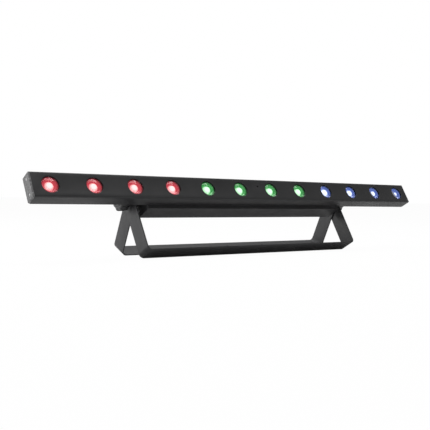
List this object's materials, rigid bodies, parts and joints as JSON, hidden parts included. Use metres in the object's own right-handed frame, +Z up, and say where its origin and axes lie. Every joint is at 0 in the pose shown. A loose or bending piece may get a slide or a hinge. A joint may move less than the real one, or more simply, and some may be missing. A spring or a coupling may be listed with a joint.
{
  "type": "led strip batten",
  "caption": "Straight LED lighting batten with a row of round coloured lenses, a driver housing behind it and two nested U yokes that splay into a floor stand.",
  "frame": {"origin": "centre of the footprint on the floor, midway between the outer edges of the two crossbars and under the middle of the bar", "axes": "+X along the bar, to the right when the lenses are seen from the front; -Y towards the audience; +Z up"},
  "size_m": [1, 0.1338, 0.1547],
  "materials": {
    "bar_paint": "satin black powder coat",
    "cap_paint": "satin dark grey, fine grain",
    "housing_paint": "satin black powder coat",
    "yoke_paint": "satin black powder coat",
    "knob_plastic": "matte moulded black",
    "moulded_plastic": "matte moulded black",
    "button_rubber": "matte rubber",
    "spacer_rubber": "matte rubber",
    "zinc_steel": "zinc plated",
    "heat_sink_metal": "plain extruded",
    "circuit_board": "green solder mask",
    "contact_brass": "bright",
    "lens_red": "clear lens lit red",
    "lens_green": "clear lens lit green",
    "lens_blue": "clear lens lit blue",
    "sensor_window": "smoked window",
    "display_window": "dark window"
  },
  "bodies": {
    "front_yoke": {"front_yoke": "yoke_paint"},
    "lamp": {"front_channel": "bar_paint", "rear_cover": "bar_paint", "end_cap_left": "cap_paint", "end_cap_right": "cap_paint", "housing_shell": "housing_paint", "housing_end_left": "housing_paint", "housing_end_right": "housing_paint", "lens_tray": "moulded_plastic", "power_inlet": "moulded_plastic", "power_outlet": "moulded_plastic", "data_inlet": "moulded_plastic", "data_outlet": "moulded_plastic", "transformer": "moulded_plastic", "capacitor": "moulded_plastic", "friction_spacer_left": "spacer_rubber", "friction_spacer_right": "spacer_rubber", "end_screw_left_lower": "zinc_steel", "end_screw_left_upper": "zinc_steel", "end_screw_right_lower": "zinc_steel", "end_screw_right_upper": "zinc_steel", "pivot_stud_left": "zinc_steel", "pivot_stud_right": "zinc_steel", "washer_left": "zinc_steel", "washer_right": "zinc_steel", "heat_sink_rail": "heat_sink_metal", "led_board": "circuit_board", "power_supply_board": "circuit_board", "control_board": "circuit_board", "power_pin_1": "contact_brass", "power_pin_2": "contact_brass", "power_pin_3": "contact_brass", "data_pin_1": "contact_brass", "data_pin_2": "contact_brass", "data_pin_3": "contact_brass", "lens_01": "lens_red", "lens_02": "lens_red", "lens_03": "lens_red", "lens_04": "lens_red", "lens_05": "lens_green", "lens_06": "lens_green", "lens_07": "lens_green", "lens_08": "lens_green", "lens_09": "lens_blue", "lens_10": "lens_blue", "lens_11": "lens_blue", "lens_12": "lens_blue", "sensor_window": "sensor_window", "display_window": "display_window"},
    "back_yoke": {"back_yoke": "yoke_paint"},
    "knob_left": {"knob_left": "knob_plastic"},
    "knob_right": {"knob_right": "knob_plastic"},
    "button_menu": {"button_menu": "button_rubber"},
    "button_up": {"button_up": "button_rubber"},
    "button_down": {"button_down": "button_rubber"},
    "button_enter": {"button_enter": "button_rubber"}
  },
  "joints": [
    {"name": "lamp_tilt", "type": "hinge", "parent": "front_yoke", "child": "lamp", "pos_m": [0, 0.00601, 0.10695], "axis": [-1, 0, 0], "range_deg": [-18, 135]},
    {"name": "back_yoke_swing", "type": "hinge", "parent": "front_yoke", "child": "back_yoke", "pos_m": [0, 0.00601, 0.10695], "axis": [-1, 0, 0], "range_deg": [-90, 54.4]},
    {"name": "knob_left_turn", "type": "hinge", "parent": "lamp", "child": "knob_left", "pos_m": [-0.2945, 0.00601, 0.10695], "axis": [-1, 0, 0], "range_deg": [0, 360]},
    {"name": "knob_right_turn", "type": "hinge", "parent": "lamp", "child": "knob_right", "pos_m": [0.2945, 0.00601, 0.10695], "axis": [1, 0, 0], "range_deg": [0, 360]},
    {"name": "button_menu_press", "type": "slide", "parent": "lamp", "child": "button_menu", "axis": [0, -0.866, 0.5], "range_m": [0, 0.0012], "stiffness_N_per_m": 300, "springref_m": -0.002},
    {"name": "button_up_press", "type": "slide", "parent": "lamp", "child": "button_up", "axis": [0, -0.866, 0.5], "range_m": [0, 0.0012], "stiffness_N_per_m": 300, "springref_m": -0.002},
    {"name": "button_down_press", "type": "slide", "parent": "lamp", "child": "button_down", "axis": [0, -0.866, 0.5], "range_m": [0, 0.0012], "stiffness_N_per_m": 300, "springref_m": -0.002},
    {"name": "button_enter_press", "type": "slide", "parent": "lamp", "child": "button_enter", "axis": [0, -0.866, 0.5], "range_m": [0, 0.0012], "stiffness_N_per_m": 300, "springref_m": -0.002}
  ]
}
